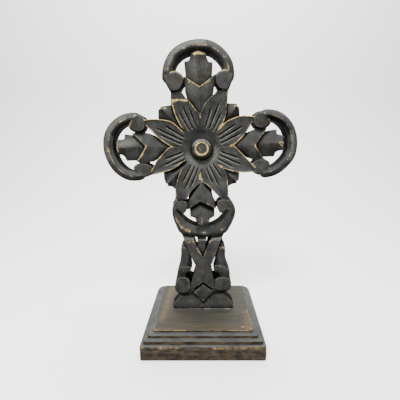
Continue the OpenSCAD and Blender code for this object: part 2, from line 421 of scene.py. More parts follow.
# Left arm
leaf([(-72, 268), (-95.5, 271.2), (-96.5, 265), (-101, 264.8), (-105, 264.5), (-107.5, 263.5)],
     [(-72, 254.8), (-95, 255), (-97, 254.8), (-101, 254.5), (-105, 254.5), (-107.5, 254.5)],
     [(-72, 238), (-95.5, 238), (-97.5, 243.5), (-101, 246), (-105, 246), (-107.5, 246)],
     [12, 14, 15.5, 18, 19.5, 17.5], [17, 21.8, 22.4, 23.2, 24, 21], 0.2, style=straight)
rub(line_at([(-106, 263), (-106, 255), (-106, 247)], 22.3), 2.2, 0.8)
tips = forked([(-42, 256), (-51, 262.5), (-61, 269.5), (-72, 272.5), (-87, 271.8)],
              [(-40, 253.3), (-48, 253.4), (-56, 254), (-63, 254.8), (-70.5, 255.3)],
              [(-42, 250), (-52, 243), (-62, 236.5), (-72, 235), (-83.5, 236.5)], 16, 24, 0.5, 0.5)
rub(tips[8:], 1.7, 0.85)
rub(tips[:9], 1.2, 0.35)

# Painted highlight on the leaf's upper, lit half.
paint_highlight(line_at([(-100, 260), (-80, 264)], 20.5), 6.0, 0.45)

# Right arm
leaf([(68, 268), (94, 271.8), (94.5, 266), (98, 265), (102, 264), (105, 262.5)],
     [(68, 254.5), (93, 254.5), (95, 254.6), (98, 254.8), (101, 255), (102, 255)],
     [(68, 238), (91, 238), (93, 243.5), (97, 245), (102, 245.5), (105, 246)],
     [12, 14, 15.5, 18, 19.5, 18], [17, 21.8, 22.4, 23, 23.4, 21], 0.2, style=straight)
rub(line_at([(101, 263.5), (104, 261), (102.5, 256), (98, 255)], 22.3), 1.5, 0.8)
rub(line_at([(99, 253.5), (103.5, 250), (104, 247)], 22), 1.4, 0.75)
tips = forked([(40, 256), (49, 262), (58, 269), (68, 272.5), (82, 272.5)],
              [(39, 253), (47, 252.8), (54, 252.6), (61, 252.5), (68, 252.5)],
              [(40, 249.5), (50, 243), (60, 237), (69, 234.5), (79.5, 235)], 16, 24, 0.5, 0.5)
rub(tips[8:], 1.6, 0.6)
rub(tips[:9], 1.4, 0.5)
# Painted shade on the lower, downward half of the right leaves.
paint_shadow(line_at([(74, 245), (92, 246)], 19), 7.0, 0.5)
paint_shadow(line_at([(50, 246), (64, 243)], 19), 6.0, 0.25)

# ---- Flower -----------------------------------------------------------------------------
# The middle of the cross is one flower of eight spoon-shaped petals, two to each arm, round
# a smooth hollow with a domed knob. Each petal has a raised rim past the seam with its
# neighbour, and three gouge cuts, steep on their upper side. Sizes are in mm.

FLOWER = np.array([-0.3, 252.0])
CUT_DEEP = 2.6
CUT_STEEP = 0.5
CUT_FLOOR = 0.6
CUT_WIDE = 1.6
CUT_IN = 0.08
CUT_OUT = 0.2
DISH_EDGE = 25.0
PETAL_TIP = 76.0
PETAL_COLUMNS = 61
PETAL_STEPS = 12
PETAL_SAG = 1.3
RIM_HIGH = 0.7
RIM_WIDE = 1.6
SEAM_DEEP = 1.6
SEAM_WIDE = 1.4
AXIS_SEAM_END = 38.0
VALLEY_SEAM_END = 32.0


def petal_level(r):
    """Depth of the petals' front at a distance from the flower's middle."""
    share = np.clip((r - DISH_EDGE) / (PETAL_TIP - DISH_EDGE), 0, 1)
    return 15.0 + 8.2 * share ** 0.6 - 0.5 * np.clip(DISH_EDGE - r, 0, 9)


def petal(axis_edge, valley_edge, cuts, axis_wear, valley_wear):
    """A petal between its edge on the arm's axis and its edge on the valley, both from dish to tip.
    Each cut is its place across the petal, and where along it the gouge went in and came out."""
    a = smooth(axis_edge, PETAL_STEPS)
    v = smooth(valley_edge, PETAL_STEPS)
    low_side = math.copysign(1, axis_edge[-2][1] - valley_edge[-2][1])
    lines = []
    for place, first, last in cuts:
        rows = [round(share * (len(a) - 1)) for share in (first, last)]
        ends = [a[i] + (v[i] - a[i]) * place for i in rows]
        length = np.linalg.norm(ends[1] - ends[0])
        run = (ends[1] - ends[0]) / length
        aside = np.array([-run[1], run[0]])
        aside *= low_side * math.copysign(1, aside @ (v[-8] - a[-8]))
        lines.append((ends[0], run, length, aside))
    rails = []
    for s in np.linspace(0, 1, PETAL_COLUMNS):
        row = a + (v - a) * s
        width = np.linalg.norm(v - a, axis=1)
        r = np.linalg.norm(row - FLOWER, axis=1)
        from_axis, from_valley = s * width, (1 - s) * width
        depth = petal_level(r) - PETAL_SAG * 4 * s * (1 - s) * np.clip((r - 30) / 15, 0, 1)
        for gap, seam_end in ((from_axis, AXIS_SEAM_END), (from_valley, VALLEY_SEAM_END)):
            rim = np.clip((r - seam_end) / 3, 0, 1)
            seam = (1 - rim) * SEAM_DEEP * np.exp(-(gap / SEAM_WIDE) ** 2)
            seam *= np.clip((r - DISH_EDGE) / 4, 0, 1)
            depth += rim * RIM_HIGH * np.exp(-(gap / RIM_WIDE) ** 2) - seam
        for start, run, length, aside in lines:
            offset = (row - start) @ aside
            t = (row - start) @ run / length
            inside = np.clip(t / CUT_IN, 0, 1) * np.clip((1 - t) / CUT_OUT, 0, 1)
            wall = np.where(offset < 0, np.clip(1 + offset / CUT_STEEP, 0, 1),
                            np.clip(1 - (offset - CUT_FLOOR) / CUT_WIDE, 0, 1))
            depth -= inside * CUT_DEEP * wall
        rails.append(np.column_stack([row, depth]))
    slab(rails)
    # Painted highlight along the lit wall of each gouge cut.
    for start, run, length, aside in lines:
        lit = start + np.linspace(0.1, 0.86, 9)[:, None] * length * run + aside * (CUT_FLOOR + CUT_WIDE * 0.6)
        lit_depth = petal_level(np.linalg.norm(lit - FLOWER, axis=1)) - CUT_DEEP * 0.4
        paint_highlight(np.column_stack([lit, lit_depth]), 0.95, 1.1)
    for edge, wear, seam_end in ((rails[0], axis_wear, 36.0), (rails[-1], valley_wear, 31.0)):
        r = np.linalg.norm(edge[:, :2] - FLOWER, axis=1)
        kept = edge[r > seam_end]
        if wear and len(kept) > 1:
            rub(kept, 1.7, wear * 0.9)


def from_flower(degrees, r):
    """A place at an angle and distance from the flower's middle."""
    turn = math.radians(degrees)
    return (FLOWER[0] + r * math.cos(turn), FLOWER[1] + r * math.sin(turn))


LONG_CUTS = [(0.21, 0.05, 0.64), (0.47, 0.02, 0.75), (0.74, 0.06, 0.58)]
SHORT_CUTS = [(0.26, 0.03, 0.56), (0.53, 0.06, 0.68), (0.79, 0.02, 0.5)]
east, north, west, south = 0, 90, 180, 270
# Left arm, upper then lower
petal([from_flower(west - 1, 20), (-38, 254.5), (-50, 262), (-58, 269.5), (-68.5, 281)],
      [from_flower(135, 20), (-24, 274), (-37, 284.8), (-55, 288.3), (-69.5, 288)], LONG_CUTS, 1.0, 1.0)
petal([from_flower(west - 1, 20), (-38, 254.5), (-49, 246), (-58, 236.5), (-65, 223)],
      [from_flower(225, 20), (-24, 234.5), (-36, 226.5), (-50, 222), (-64, 219)], SHORT_CUTS, 0.75, 0.9)
# Right arm, upper then lower
petal([from_flower(east, 20), (39, 253.5), (48, 260), (56, 268.5), (64, 281)],
      [from_flower(45, 20), (26, 278.5), (37, 285.5), (51, 289.3), (65.5, 288)], LONG_CUTS, 0.75, 1.0)
petal([from_flower(east, 20), (39, 253.5), (48.5, 245.5), (57, 237), (66, 226)],
      [from_flower(315, 20), (26, 226), (40, 220.5), (54, 219), (67, 219.5)], SHORT_CUTS, 0.8, 0.7)
# Top arm, left then right
petal([from_flower(north, 20), (-1, 292), (-5, 297), (-10.5, 304.5), (-16, 310.5)],
      [from_flower(135, 20), (-25, 278), (-31.5, 292), (-34.5, 303), (-36.5, 311.5)], LONG_CUTS, 0.7, 1.0)
petal([from_flower(north, 20), (-0.5, 292), (5, 304), (17, 315.5), (31, 321)],
      [from_flower(45, 20), (26.5, 279.5), (31.5, 292), (32.5, 306), (34, 321)], SHORT_CUTS, 0.3, 0.55)
# Below, left then right: their ends run down behind the crescent's knobs
petal([from_flower(south, 20), (-1, 210.5), (-8, 203.5), (-15, 196.5), (-21.5, 186)],
      [from_flower(225, 20), (-26, 226), (-31.5, 214), (-35.5, 200), (-35.5, 186)], LONG_CUTS, 0.15, 0.5)
petal([from_flower(south, 20), (-1, 210.5), (6, 204), (13, 196.5), (22, 187)],
      [from_flower(315, 20), (26, 226.5), (31.3, 214), (32.6, 200), (32.6, 185)], SHORT_CUTS, 0.5, 0.42)
# Flat end of the upper left petal, and the worn folds where two petals meet
rub(line_at([(-35.5, 309.6), (-26, 310.4), (-16, 309.4)], 22.4), 2.4, 1.25)
rub(line_at([(-1, 292), (-1, 287)], 18.5), 2.4, 0.6)
rub(line_at([(-2, 219), (-3, 212)], 18.5), 2.4, 0.5)

# The hollow in the middle, turned by eye, and the knob that stands in it.
bpy.ops.object.select_all(action="DESELECT")
FULL_TURN = 97
hollow = []
for r, depth in [(36, 9), (DISH_EDGE + 2, 13), (DISH_EDGE, 15), (22, 14.1), (19, 12.9), (16, 12.0),
                 (12, 11.6), (0.2, 11.6)]:
    hollow.append(arc(FLOWER, r, 0, 360, depth, FULL_TURN))
slab(hollow)
# Painted highlight on the lower, lit side of the hollow, and painted shade on its upper side under the knob.
paint_highlight(arc(FLOWER, 19.5, 215, 345, 13.0, 20), 6.0, 0.34)
paint_shadow(arc(FLOWER, 20.5, 55, 130, 13.4, 12), 6.0, 0.3)

KNOB_FOOT = np.array([0.0, 249.6])
KNOB_TOP = np.array([0.0, 250.6])
knob = []
for r, depth, rise in [(14, 10, 0), (13.9, 15, 0), (13.2, 19, 0.3), (11.6, 22.2, 0.7), (9.3, 24.6, 1),
                       (7.9, FRONT_DEPTH, 1), (6.6, 24.8, 1), (5.8, 24.0, 1), (3, 24.3, 1), (0.2, 24.4, 1)]:
    middle = KNOB_FOOT + (KNOB_TOP - KNOB_FOOT) * rise
    knob.append(arc(middle, r, 0, 360, depth, FULL_TURN))
slab(knob)
knob_rim, knob_bevel = knob[5], knob[3]
rub(knob_rim[::4], 1.5, 0.72)
rub(line_at([KNOB_TOP - [2, 0], KNOB_TOP + [2, 0]], 24.3), 3.2, 0.14)
# Painted highlight on the knob's lit upper bevel.
paint_highlight(knob_bevel[8:42:4], 2.4, 0.85)

# ---- Sepals -----------------------------------------------------------------------------
# In each corner between two arms a folded sepal shows behind the petals, set about a third
# of the board lower. The fold runs out to a blunt worn corner.


def folded(outline, fold, shoulder):
    """A block whose front falls away on both sides of a fold. The outline runs from one end of the
    fold round one side, and back round the other."""
    half_a, half_b = outline
    line = straight(np.array(fold, float), 4)
    rows_a = straight(np.column_stack([half_a, [shoulder] * len(half_a)]), 4)
    rows_b = straight(np.column_stack([half_b, [shoulder] * len(half_b)]), 4)
    n = len(line)
    pick_a = rows_a[np.linspace(0, len(rows_a) - 1, n).round().astype(int)]
    pick_b = rows_b[np.linspace(0, len(rows_b) - 1, n).round().astype(int)]
    slab([pick_a, (pick_a + line) / 2, line, (pick_b + line) / 2, pick_b])


folded(([(-20, 272), (-30, 290), (-36, 304.5), (-44, 303.6), (-49.5, 302.4)],
        [(-20, 272), (-34, 280), (-52, 286), (-52.6, 290), (-52, 300)]),
       [(-20, 272, 14), (-28, 280, 15.5), (-36, 288, 17), (-43, 295.5, 19), (-49, 300.5, 20.5)], 13)
rub(line_at([(-51, 299.5), (-47, 301.3), (-43, 302)], 17), 2.4, 0.75)
folded(([(20, 272), (28, 290), (33, 304.5), (41, 304.2), (46, 302.8)],
        [(20, 272), (34, 280), (47, 286), (48.4, 290), (47.6, 300)]),
       [(20, 272, 14), (27, 280, 15.5), (34, 288, 17), (40, 295.5, 19), (45, 300.5, 20.5)], 13)
rub(line_at([(41, 302.5), (45, 301.5), (47, 299)], 17), 2.4, 0.85)
folded(([(-20, 232), (-36, 224), (-49.5, 222), (-49.2, 214), (-47.4, 207.6)],
        [(-20, 232), (-32, 214), (-35, 199), (-38.5, 203), (-45, 204.6)]),
       [(-20, 232, 14), (-27, 225, 15.5), (-34, 218, 17), (-40, 212.5, 19), (-45.5, 207.5, 20)], 13)
rub(line_at([(-47.5, 211), (-46, 208), (-42, 205.5)], 17), 2.2, 0.5)
folded(([(20, 232), (34, 224), (47, 220), (47, 214), (46, 208.8)],
        [(20, 232), (30, 214), (32.5, 201.5), (37, 204.4), (43.6, 205.8)]),
       [(20, 232, 14), (26, 225, 15.5), (33, 218, 17), (38, 213, 19), (43.5, 208.5, 20)], 13)
rub(line_at([(45.5, 213), (44, 209), (40, 206.5)], 17), 2.0, 0.3)

# Painted shade in the corners between the upper sepals and the petals.
for side, much in ((-1, 0.36), (1, 0.26)):
    paint_shadow(line_at([(side * 34, 291), (side * 46, 300)], 18.5), 6.0, much)

# The board is left whole, well back, behind the corner between the lower left petals.
leaf([(-46, 224), (-20, 241)], [(-40, 216), (-18, 232)], [(-34, 208), (-16, 226)], [10, 10], [10, 10])

# ---- Neck -------------------------------------------------------------------------------
# Behind the top petals two more sepals carry the top ring's knobs.

leaf([(-30, 296), (-36, 304), (-36, 314), (-35.5, 322)], [(-20, 298), (-24, 306), (-27, 313), (-28, 321)],
     [(-8, 300), (-12, 307), (-17.5, 312.5), (-22, 319)], [15, 17, 19, 20], [16, 18.5, 20.5, 21.5], 0.4)
rub(line_at([(-34, 320.5), (-28, 320), (-22, 317.5), (-17, 312)], 20.5), 1.0, 0.3)
leaf([(8, 300), (12, 307), (17, 315), (22, 321.5)], [(20, 298), (24, 306), (26, 314), (27, 322)],
     [(30, 296), (33, 304), (34, 313), (35, 324)], [13, 15, 17, 18], [15, 17, 19, 20], 0.4)

# ---- Crescent ---------------------------------------------------------------------------
# Below the flower a crescent opens upward round a hanging leaf. It has the same ridge and
# bevels as the rings, and ends in two knobs under the lower petals. From here down the
# carving stands upright.

leaning = False
CRESCENT_EDGE = [(-36, 188), (-38.9, 179), (-40.5, 170), (-39, 160), (-35.3, 150), (-30.8, 141.4), (-20, 137),
                 (-10, 135.4), (0, 135), (10, 135.4), (20, 137), (30, 141.6), (35.4, 150), (40, 160),
                 (42.1, 170), (40.3, 178), (34.6, 187)]
CRESCENT_RIDGE = [(-33.5, 184), (-36.5, 177), (-37.5, 170), (-35.5, 161), (-31, 151.5), (-26, 146),
                  (-18, 142.3), (-9, 140.6),
                  (0, 140), (9, 140.6), (18, 142.3), (26, 146.5), (30.5, 152), (34.5, 161), (37, 170),
                  (36, 177), (32, 184)]
CRESCENT_INSIDE = [(-31, 180), (-33, 176), (-33.5, 171), (-29, 164.5), (-24, 159), (-19.5, 155.5),
                   (-14, 152.5), (-7, 150),
                   (0, 149.3), (7, 150), (13, 152.3), (19, 156), (23.5, 160.5), (28.5, 166), (32.5, 172),
                   (32, 176), (30, 180)]


def crescent_rail(points, depth):
    """One line of the crescent at one depth."""
    return smooth(np.column_stack([points, np.full(len(points), float(depth))]), 5)


edge_line = crescent_rail(CRESCENT_EDGE, 17.5)
ridge_line = crescent_rail(CRESCENT_RIDGE, FRONT_DEPTH)
inside_line = crescent_rail(CRESCENT_INSIDE, 23.2)
outer_bevel = [edge_line + (ridge_line - edge_line) * [inward, inward, rise]
               for inward, rise in ((0, 0), (0.06, 0.3), (0.28, 0.62), (0.6, 0.86))]
slab(outer_bevel + [ridge_line, (ridge_line + inside_line) / 2 + [0, 0, 0.2], inside_line])
rub(ridge_line[10:38:2], 1.8, 0.38)
rub(ridge_line[38:66:2], 1.6, 0.15)
pad([(-38.5, 183), (-30, 184), (-21, 183.5), (-20, 176), (-22.5, 170), (-26, 167), (-33, 172), (-38.5, 177)],
    20.5, FRONT_DEPTH - 0.3)
rub(line_at([(-34, 174), (-30, 171), (-25.5, 168)], 22.8), 2.0, 0.65)
pad([(34, 184.5), (26, 187), (18.5, 184.5), (17.5, 178), (20, 171), (23, 167.5), (30, 171.5), (36, 176.5)],
    20.5, FRONT_DEPTH - 0.3)
rub(line_at([(22.5, 168.5), (28, 171), (34, 175.5)], 22.8), 1.8, 0.6)
# Painted shadow along the inside of the crescent and under the lower petals' ends.
for side in (-1, 1):
    for depth, wide in ((14, 6.0), (22.8, 1.6)):
        paint_shadow(line_at([(side * 34, 171), (side * 28, 164), (side * 22, 158), (side * 15, 154),
                      (side * 8, 151)], depth),
             wide, 1.0)
paint_shadow(line_at([(-36, 184.6), (-28, 185), (-20, 184.6)], 20), 2.2, 0.9)
paint_shadow(line_at([(15.5, 185.5), (20, 188.3), (26, 188), (33, 185.5)], 20), 2.0, 0.85)
# Webs that join the knobs to the lower petals, well back from the front
leaf([(-33, 176), (-36, 183), (-36, 190), (-34, 198)], [(-28, 176), (-29, 183), (-29, 190), (-27, 198)],
     [(-22, 176), (-21, 183), (-22.5, 188), (-20, 196)], [8, 9, 9, 9], [8, 9, 9, 9])
leaf([(19, 176), (18, 183), (21, 189), (18, 196)], [(26, 176), (26, 183), (27, 190), (26, 198)],
     [(33, 176), (33, 184), (32, 190), (31, 198)], [8, 9, 9, 9], [8, 9, 9, 9])

# ---- Hanging leaf -----------------------------------------------------------------------
# The same two-stage leaf as in the arms, hanging point down into the crescent.

leaf([(-14, 192), (-18, 182), (-17, 163), (-10.5, 161), (-9.3, 156), (-7.2, 150.3)],
     [(-4, 192), (-3.5, 180), (-2.5, 164), (-2.2, 160.5), (-1.6, 155.5), (-0.8, 150.3)],
     [(11, 192), (14.5, 182), (15, 163.5), (9, 160), (8, 156), (7.2, 150.3)],
     [12, 14, 15.5, 17.5, 19.5, 18.5], [15, 17, 21, 22.4, 23.6, 21.5], 0.2, style=straight)
rub(line_at([(-6.5, 152), (0, 152), (6.5, 152)], 22.4), 2.6, 0.5)
rub(line_at([(-1.8, 161), (-1.6, 154)], 23), 1.4, 0.4)
tips = forked([(-3, 211), (-6.6, 203.5), (-13, 194), (-19, 184), (-20, 171.5)],
              [(-2.2, 212), (-2.4, 206), (-3, 199), (-3.5, 191), (-4, 183)],
              [(-1.4, 211), (3.2, 203), (9.6, 195), (13.8, 186), (17.5, 173)], 18, 24, 0.5, 0.4)
rub(tips[9:], 1.8, 0.45)
rub(line_at([(15.5, 180), (16.5, 176), (14, 174.5), (11, 175)], 21.5), 3.0, 0.55)
rub(line_at([(-20, 178), (-20, 174), (-16, 173)], 21.5), 2.2, 0.45)

# Painted shadow under the inner leaf's V, beside its root, and under its tip.
paint_shadow([(-17, 172.5, 15.5), (-11, 176, 17), (-4, 180.5, 17.8), (3, 176.5, 17), (12, 172, 15.5)], 3.2, 1.0)
paint_shadow(line_at([(-2.5, 209.5), (-8, 203), (-13, 197.5), (-20, 191)], 17), 2.0, 0.9)
paint_shadow(line_at([(-1.5, 209.5), (4.5, 203.5), (10, 196.5)], 17), 1.8, 0.9)
paint_shadow(line_at([(-7.5, 147.8), (0, 146.8), (6.5, 147.8)], 23), 3.4, 0.8)
# Behind the leaf's root the board is left whole, well back.
leaf([(-19.5, 177), (-19.2, 187), (-17.6, 192.5), (-16, 197), (-16, 204), (-10, 214)],
     [(-2, 177), (-2, 187), (-2, 192.5), (-2, 197), (-2, 204), (-2, 214)],
     [(17.4, 177), (15.4, 184), (12.6, 188.5), (11.4, 197), (12, 204), (8, 214)], [9] * 6, [9] * 6)
# Painted shadow on this board behind the leaf's root.
paint_shadow(line_at([(-18, 178), (-17, 192)], 9), 4.0, 1.0)
paint_shadow(line_at([(16, 178), (13, 187), (11, 196)], 9), 4.0, 1.0)

# ---- Ribbons ----------------------------------------------------------------------------
# Two flat ribbons come down from the crescent and meet in a V on the trunk, with a small
# lower tongue between them. Their tops are bevelled back under the crescent.

ribbon_depths = [14.5, 16.5, 22.3, 22, 21.8, 21]
leaf([(-30, 143), (-28.6, 139), (-24.8, 130.5), (-19.5, 117), (-15, 105), (-11.5, 97)],
     [(-20.5, 143), (-20.5, 138.5), (-18.5, 130.5), (-14, 118), (-8, 107), (-5, 97)],
     [(-12.3, 143), (-12.3, 137), (-12, 130), (-8, 120.5), (-1, 108.5), (0, 97)],
     ribbon_depths, ribbon_depths, style=straight)
leaf([(13, 143), (12.5, 137), (8.5, 130), (4, 118), (0.5, 108.5), (0, 97)],
     [(20, 143), (19, 138), (15, 130), (11, 118), (7.5, 107), (5, 97)],
     [(28.6, 143), (27, 138.5), (22.6, 130), (19.5, 119), (15, 106.5), (11.5, 97)],
     ribbon_depths, ribbon_depths, style=straight)
rub(line_at([(-12.5, 129), (-8, 120.5), (-2, 109.5)], 21.4), 1.3, 0.5)
rub(line_at([(-24, 129), (-18, 128), (-13, 128.5)], 21.4), 2.0, 0.35)
rub(line_at([(-24, 129), (-19.5, 117), (-15.5, 106.5)], 21.4), 1.0, 0.25)
rub(line_at([(12, 131), (6.5, 127.5), (3.5, 117), (1, 110)], 21.4), 1.2, 0.5)
# Painted highlight on the tops of the ribbons and the tongue, under the crescent.
for first, last in ((-23.5, -13.5), (-6, 3), (11, 22)):
    paint_highlight(line_at([(first, 133), (last, 133)], 19), 2.4, 0.8)
tongue_depths = [14, 16.5, 19.6, 18.4, 17]
leaf([(-7.8, 142), (-7.8, 134.5), (-8, 131.2), (-7, 121), (-1.5, 110)],
     [(-2, 142), (-2, 134.5), (-2, 131.2), (-0.8, 120), (-0.4, 109)],
     [(3.2, 142), (3.2, 134.5), (4.2, 131.2), (3, 121), (0.8, 110)], tongue_depths, tongue_depths,
     style=straight)
# Behind the tongue's right edge the board is left whole, well back.
leaf([(6, 143), (5.8, 136), (5, 130), (2, 118)], [(11, 143), (10, 136), (8, 130), (5, 118)],
     [(16, 143), (15, 136), (12, 130), (8, 118)], [9, 9, 9, 9], [9, 9, 9, 9])

# ---- Trunk ------------------------------------------------------------------------------
# The trunk is plain and nearly flat. It narrows below the V, then spreads into two toes that
# stand either side of a diamond.

tips = forked([(-11.2, 103), (-10.2, 96), (-11.8, 86), (-15.5, 74), (-18.5, 60)],
              [(0, 103), (0, 97), (0, 89), (0, 81), (0, 71.5)],
              [(11.2, 103), (10.2, 96), (11.6, 86), (14.8, 74), (16.5, 61)], 22.2, 24.6, 0.2, -0.8)
rub(tips, 1.6, 0.22)
leaf([(-11, 92), (-14, 80), (-12, 70), (-8, 62)], [(0, 92), (0, 80), (0, 70), (0, 62)],
     [(11, 92), (13, 80), (12, 70), (8, 62)], [14, 14, 14, 14], [15, 15, 15, 15])

# Between ribbon and bud the board is left whole above the narrow opening.
for side in (-1, 1):
    leaf([(side * 14, 109), (side * 16, 120), (side * 19, 132)],
         [(side * 18, 108), (side * 20, 120), (side * 22, 132)],
         [(side * 22, 108), (side * 24, 120), (side * 26, 132)], [11, 11, 11], [11, 11, 11])
# Beside the toes the board is left whole, well back, up to the two narrow openings.
for side, top in ((-1, 85), (1, 87)):
    leaf([(side * 9, top - 6), (side * 9, 72), (side * 9, 60)],
         [(side * 16, top), (side * 17, 72), (side * 17, 60)],
         [(side * 26, top + 3), (side * 26, 72), (side * 26, 60)], [9, 9, 9], [9, 9, 9])

# ---- Side leaves ------------------------------------------------------------------------
# On each side of the trunk a bud hangs from the ribbon, thickens to a hook, and ends below in
# a round scroll that sits on the foot plate.


def side_leaf(side, bud, hook, scroll):
    """One side of the stem, with its side as -1 or 1, from the bud down to the scroll's ball."""
    outer, inner = bud
    outer_rail = [(side * x, z) for x, z in outer]
    inner_rail = [(side * x, z) for x, z in inner]
    crest = [(0.36 * a[0] + 0.64 * b[0], 0.36 * a[1] + 0.64 * b[1]) for a, b in zip(outer_rail, inner_rail)]
    outside = smooth(np.column_stack([outer_rail, [12, 14, 20, 19.5, 19, 18, 16]]), 6)
    top = smooth(np.column_stack([crest, [12, 14.5, 21.3, 21.3, 21, 20, 17]]), 6)
    inside = smooth(np.column_stack([inner_rail, [12, 14, 19.5, 18.5, 12, 10, 10]]), 6)
    slab([outside, (outside + top) / 2 + [0, 0, 0.4], top, (top + inside) / 2, inside])
    outer, inner = hook
    outer_rail = [(side * x, z) for x, z in outer]
    inner_rail = [(side * x, z) for x, z in inner]
    middle = [((a[0] + b[0]) / 2, (a[1] + b[1]) / 2) for a, b in zip(outer_rail, inner_rail)]
    leaf(outer_rail, middle, inner_rail, [20.5, 20.3, 19.8, 18.5, 17], [22.3, 22, 21, 19.5, 18])
    rub([outer_rail[0] + (21.5,), middle[0] + (22.3,), inner_rail[0] + (21.5,)], 1.0, 0.3)
    pad([(side * x, z) for x, z in scroll], 18, 23)


side_leaf(-1,
          ([(22.8, 128.8), (27.2, 126.6), (29.6, 120), (29.8, 110), (31.5, 100), (33.5, 91), (34.5, 84)],
           [(19, 129), (20.5, 125), (20.5, 119), (17.5, 109), (15.6, 101), (15, 94), (18, 86)]),
          ([(32.5, 93), (34.3, 89), (35.2, 85), (35.8, 81), (36.5, 75)],
           [(17, 94), (15.8, 90.5), (18.5, 87), (23.5, 83.5), (24, 75)]),
          [(36, 78), (30, 80.5), (24, 80.5), (18.5, 76.5), (16.5, 69), (17.5, 60), (22, 54.5), (30, 54),
           (36.5, 58), (38.6, 66)])
side_leaf(1,
          ([(23.4, 128.8), (27.2, 126.6), (29.4, 120), (29.5, 110), (31.2, 100), (34.6, 91), (35.8, 84)],
           [(18, 129), (20, 125), (20.5, 119), (17.8, 109), (15.4, 101), (13.4, 94), (15, 86)]),
          ([(30, 93), (35, 89), (36.1, 85), (36.4, 81), (37, 75)],
           [(16.5, 96.5), (14.6, 92), (14.6, 88), (21, 84), (24, 75)]),
          [(36.2, 77.5), (29.6, 80.5), (22, 80.5), (15.5, 77), (14.8, 69), (16, 60.5), (21, 58), (29.6, 58),
           (36.2, 61.5), (38.2, 68)])
rub(line_at([(-29.5, 120), (-25, 121.5), (-21, 120)], 20.8), 1.6, 0.4)
rub(line_at([(20.5, 120.5), (25, 121), (28, 119.5)], 20.8), 2.0, 0.5)
rub(line_at([(-22, 78), (-20, 72), (-21, 66)], 23.5), 3.0, 0.35)
rub(line_at([(17, 64), (18, 62)], 21), 2.0, 0.4)

# ---- Diamond ----------------------------------------------------------------------------
# A creased diamond fills the gap between the two scrolls and hangs a little over the foot.

leaf([(0, 68.5), (-6.5, 63), (-12.6, 56.5), (-6, 50), (0, 43.8)],
     [(0, 68.5), (0, 63), (0, 56.5), (0, 50), (0, 43.8)],
     [(0, 68.5), (7, 63), (13, 57.5), (6.5, 50.5), (0, 43.8)], [22.6, 22.6, 22.8, 23, 23],
     [22.8, 23.4, 23.8, 23.9, 23.2],
     style=straight)
rub(line_at([(0, 47), (0, 45)], 23.5), 2.0, 0.4)
# Painted shadow under the diamond and the scrolls, on the foot plate.
paint_shadow(line_at([(-14, 55.5), (-7, 48.3), (0, 41.6), (7.5, 48.6), (14, 56)], 20), 1.8, 0.9)
paint_shadow(line_at([(-35, 56), (-27, 53), (-19, 53.8), (-13, 57)], 20), 2.0, 0.85)
paint_shadow(line_at([(13, 57), (19, 56.4), (28, 56.6)], 20), 2.4, 0.9)

# ---- Foot -------------------------------------------------------------------------------
# The carving stands on a plain plate, five millimetres thinner than the board, that widens
# to a flat underside. The plate is glued to the base.

FOOT_DEPTH = 20.0
seat_z = SEAT * 1000
foot_left = [(-30, 62), (-30.5, 54), (-33, 49.5), (-35.5, 45.5), (-38.5, 42.8), (-41.8, 38.5),
             (-40.2, seat_z)]
foot_right = [(28, 62), (28, 54), (31.5, 50.5), (34.5, 47.5), (38, 44.5), (41.6, 37), (40.2, seat_z)]
foot_middle = [((a[0] + b[0]) / 2, (a[1] + b[1]) / 2) for a, b in zip(foot_left, foot_right)]
foot_depths = [FOOT_DEPTH - 0.6] * 2 + [FOOT_DEPTH] * (len(foot_left) - 2)
slab([np.column_stack([line, foot_depths]) for line in (foot_left, foot_middle, foot_right)])
# Painted highlight across the foot plate's front.
paint_highlight(line_at([(-32, 43), (32, 43)], FOOT_DEPTH), 8.0, 0.14)
for across in (-24, -3, 14.5):
    rub(line_at([(across, 38.5), (across, 36.5)], FOOT_DEPTH), 1.6, 0.35)

# ---- Joining the carving ----------------------------------------------------------------
# It is one board, so the blocks are fused into one skin. A little unevenness is left, as a
# knife leaves it, and the edges are eased as by paint and handling.

bpy.ops.object.select_all(action="DESELECT")
for block in carving:
    block.select_set(True)
bpy.context.view_layer.objects.active = carving[0]
bpy.ops.object.join()
cross = bpy.context.object
cross.name = "carved_cross"
bpy.ops.object.shade_smooth()


def finish_with(piece, kind, settings):
    """Adds one modifier with its settings and applies it."""
    modifier = piece.modifiers.new(kind.lower(), kind)
    for name, value in settings.items():
        setattr(modifier, name, value)
    bpy.ops.object.modifier_apply(modifier=modifier.name)


def coordinates(mesh):
    """The places of a mesh's vertices, one row each."""
    flat = np.empty(len(mesh.vertices) * 3)
    mesh.vertices.foreach_get("co", flat)
    return flat.reshape(-1, 3)


def neighbour_mean(values, ends, counts):
    """The mean over each vertex's neighbours."""
    total = np.zeros_like(values)
    np.add.at(total, ends[:, 0], values[ends[:, 1]])
    np.add.at(total, ends[:, 1], values[ends[:, 0]])
    return total / counts[:, None] if values.ndim > 1 else total / counts


def measure_proud(mesh):
    """How far each vertex of an evenly meshed skin stands out: above 0.5 on edges, below it in hollows."""
    n = len(mesh.vertices)
    co = coordinates(mesh)
    normal = np.empty(n * 3)
    mesh.vertices.foreach_get("normal", normal)
    ends = np.empty(len(mesh.edges) * 2, int)
    mesh.edges.foreach_get("vertices", ends)
    ends = ends.reshape(-1, 2)
    counts = np.maximum(np.bincount(ends.reshape(-1), minlength=n), 1)
    soft = co.copy()
    for _ in range(SOFTEN_PASSES):
        soft = (soft + neighbour_mean(soft, ends, counts)) / 2
    proud = np.einsum("ij,ij->i", co - soft, normal.reshape(-1, 3)) / PROUD_STEP
    proud = (proud + neighbour_mean(proud, ends, counts)) / 2
    return co, np.clip(0.5 + proud / 2, 0, 1)


